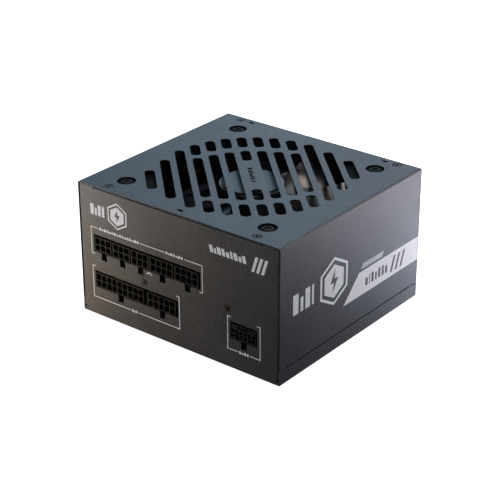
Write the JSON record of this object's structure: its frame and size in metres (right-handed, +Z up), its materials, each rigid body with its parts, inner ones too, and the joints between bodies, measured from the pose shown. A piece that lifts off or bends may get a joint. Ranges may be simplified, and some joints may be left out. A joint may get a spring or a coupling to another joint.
{
  "type": "power supply unit",
  "caption": "Fully modular desktop computer power supply: steel tray and cover, slotted fan grille, spinning fan, modular sockets, mains inlet and rocker switch.",
  "frame": {"origin": "centre of the flat bottom face of the case, between the four vertical corners", "axes": "+Z up through the fan grille, -Y out through the connector panel, +Y out through the mains inlet panel, X across the 150 mm width"},
  "size_m": [0.15, 0.1445, 0.086],
  "materials": {
    "case_paint": "fine-texture dark grey powder coat",
    "black_plastic": "moulded black",
    "socket_plastic": "moulded black, satin",
    "fan_plastic": "moulded black, semi-gloss",
    "hub_label": "blank foil-grey label",
    "black_zinc": "black zinc plated steel",
    "steel": "bright",
    "brass": "turned",
    "bronze": "sintered",
    "circuit_board": "green solder mask",
    "insulating_film": "translucent film",
    "clear_sheet": "clear polycarbonate",
    "aluminium": "extruded",
    "copper": "bare and enamelled copper",
    "ferrite": "pressed ferrite",
    "capacitor_sleeve": "shrink sleeve",
    "film_capacitor": "yellow box",
    "brown_wire": "wire insulation",
    "blue_wire": "wire insulation",
    "black_wire": "wire insulation",
    "magnet": "bonded magnet"
  },
  "bodies": {
    "case": {"top_cover": "case_paint", "base_tray": "case_paint", "cover_screw_1": "black_zinc", "cover_screw_2": "black_zinc", "cover_screw_3": "black_zinc", "cover_screw_4": "black_zinc", "fan_screw_1": "black_zinc", "fan_screw_2": "black_zinc", "fan_screw_3": "black_zinc", "fan_screw_4": "black_zinc", "modular_screw_left": "black_zinc", "modular_screw_right": "black_zinc", "modular_standoff_left": "brass", "modular_standoff_right": "brass", "socket_6pin_1": "socket_plastic", "socket_6pin_2": "socket_plastic", "socket_6pin_3": "socket_plastic", "socket_8pin_1": "socket_plastic", "socket_8pin_2": "socket_plastic", "socket_18pin": "socket_plastic", "socket_10pin": "socket_plastic", "socket_16pin": "socket_plastic", "modular_board": "circuit_board", "main_board": "circuit_board", "supervisor_board": "circuit_board", "insulator_film": "insulating_film", "board_screw_1": "steel", "board_screw_2": "steel", "board_screw_3": "steel", "board_screw_4": "steel", "ac_inlet_body": "black_plastic", "inlet_pin_line": "brass", "inlet_pin_neutral": "brass", "inlet_pin_earth": "brass", "inlet_screw_left": "black_zinc", "inlet_screw_right": "black_zinc", "switch_housing": "black_plastic", "fan_frame": "fan_plastic", "fan_bearing": "bronze", "fan_stator": "copper", "main_transformer": "ferrite", "standby_transformer": "ferrite", "bulk_capacitor": "capacitor_sleeve", "output_capacitor_1": "capacitor_sleeve", "output_capacitor_2": "capacitor_sleeve", "pfc_choke": "copper", "emi_choke": "copper", "film_capacitor": "film_capacitor", "primary_heatsink": "aluminium", "secondary_heatsink": "aluminium", "power_busbar": "copper", "air_guide": "clear_sheet", "ac_wire_line": "brown_wire", "ac_wire_neutral": "blue_wire", "fan_cable": "black_wire"},
    "fan": {"fan_rotor": "fan_plastic", "fan_magnet_ring": "magnet", "fan_shaft": "steel", "hub_label": "hub_label"},
    "rocker": {"switch_rocker": "black_plastic"}
  },
  "joints": [
    {"name": "fan_spin", "type": "hinge", "parent": "case", "child": "fan", "pos_m": [0.0004, 0, 0.07], "axis": [0, 0, 1], "continuous": true},
    {"name": "rocker_tilt", "type": "hinge", "parent": "case", "child": "rocker", "pos_m": [0.011, 0.0694, 0.024], "axis": [1, 0, 0], "range_deg": [0, 22]}
  ]
}
